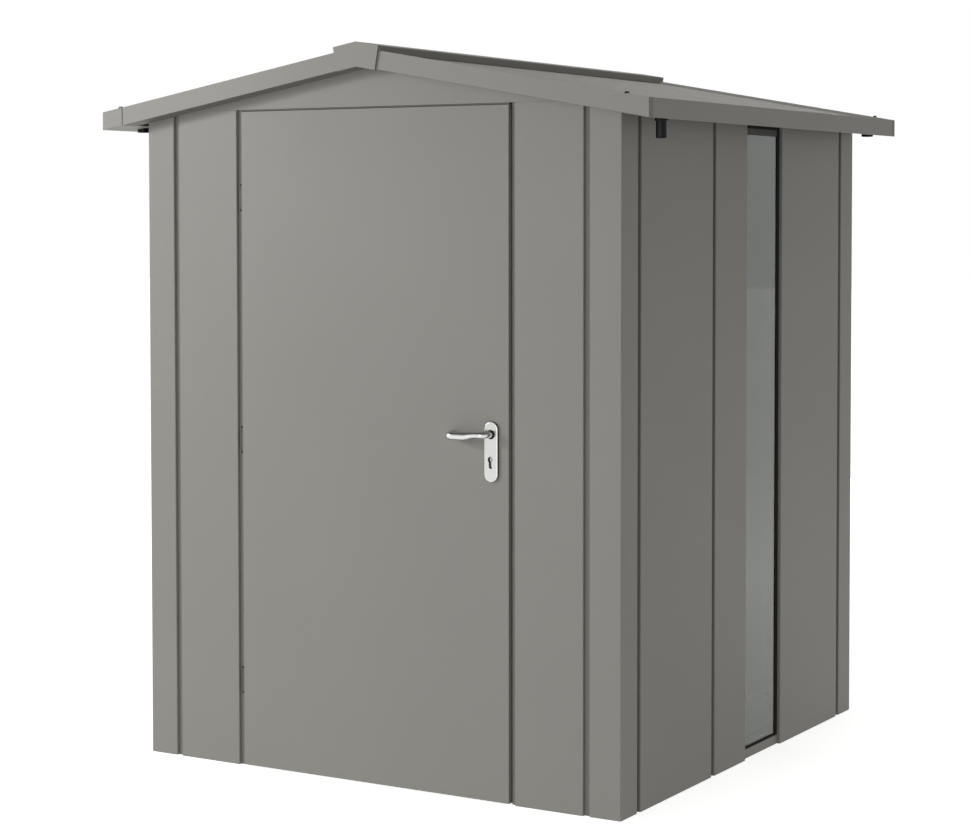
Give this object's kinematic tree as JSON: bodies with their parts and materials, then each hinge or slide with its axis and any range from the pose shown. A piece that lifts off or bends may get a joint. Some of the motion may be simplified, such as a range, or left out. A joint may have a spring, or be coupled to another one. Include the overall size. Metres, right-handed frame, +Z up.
{
  "type": "metal tool shed",
  "caption": "Small flat-panelled metal tool shed with a low gable roof, eaves gutters, a hinged door with lever handle and a tall narrow light strip in one side wall.",
  "frame": {"origin": "centre of the shed's footprint at ground level", "axes": "+Z up; the front with the door faces -Y; the wall with the light strip faces +X; the ridge runs along Y"},
  "size_m": [1.892, 1.795, 2.1687],
  "materials": {
    "wall_grey": "matt stone-grey coating",
    "joint_grey": "matt stone-grey coating in the grooves",
    "roof_grey": "matt stone-grey coating",
    "door_grey": "matt stone-grey coating",
    "frame_zinc": "plain grey primer",
    "satin_steel": "satin",
    "black_plastic": "moulded",
    "black_rubber": "matt",
    "strip_glass": "clear",
    "header_grey": "matt dark grey",
    "hinge_steel": "matt grey coating"
  },
  "bodies": {
    "shed": {"base_rails": "frame_zinc", "corner_front_left": "wall_grey", "corner_front_right": "wall_grey", "corner_rear_left": "wall_grey", "corner_rear_right": "wall_grey", "door_frame": "frame_zinc", "frame_hinges": "hinge_steel", "front_joint_strips": "joint_grey", "front_wall_panels": "wall_grey", "gable_front": "wall_grey", "gable_rear": "wall_grey", "gutter_caps_left": "roof_grey", "gutter_caps_right": "roof_grey", "gutter_floor_left": "roof_grey", "gutter_floor_right": "roof_grey", "gutter_walls_left": "roof_grey", "gutter_walls_right": "roof_grey", "left_joint_strips": "joint_grey", "left_wall_panels": "wall_grey", "outlet_plugs": "black_plastic", "rain_spouts": "black_plastic", "rear_joint_strips": "joint_grey", "rear_wall_panels": "wall_grey", "ridge_cap": "roof_grey", "ridge_end_front": "roof_grey", "ridge_end_rear": "roof_grey", "ridge_purlin": "frame_zinc", "right_joint_strips": "joint_grey", "right_wall_panels": "wall_grey", "roof_sheet_left": "roof_grey", "roof_sheet_right": "roof_grey", "top_rails": "frame_zinc", "verge_front_left": "roof_grey", "verge_front_right": "roof_grey", "verge_rear_left": "roof_grey", "verge_rear_right": "roof_grey", "window_gasket": "black_rubber", "window_header": "header_grey", "window_pane": "strip_glass", "window_rails": "wall_grey"},
    "door": {"door_leaf": "door_grey", "handle_plate_outer": "satin_steel", "handle_plate_inner": "satin_steel", "lock_cylinder": "satin_steel", "door_hinges": "hinge_steel"},
    "lever": {"lever_outer": "satin_steel", "lever_inner": "satin_steel", "lever_spindle": "satin_steel"}
  },
  "joints": [
    {"name": "door_swing", "type": "hinge", "parent": "shed", "child": "door", "pos_m": [-0.4765, -0.822, 1], "axis": [0, 0, -1], "range_deg": [0, 110]},
    {"name": "lever_turn", "type": "hinge", "parent": "door", "child": "lever", "pos_m": [0.412, -0.825, 1.051], "axis": [0, -1, 0], "range_deg": [0, 40], "stiffness_Nm_per_rad": 2}
  ]
}
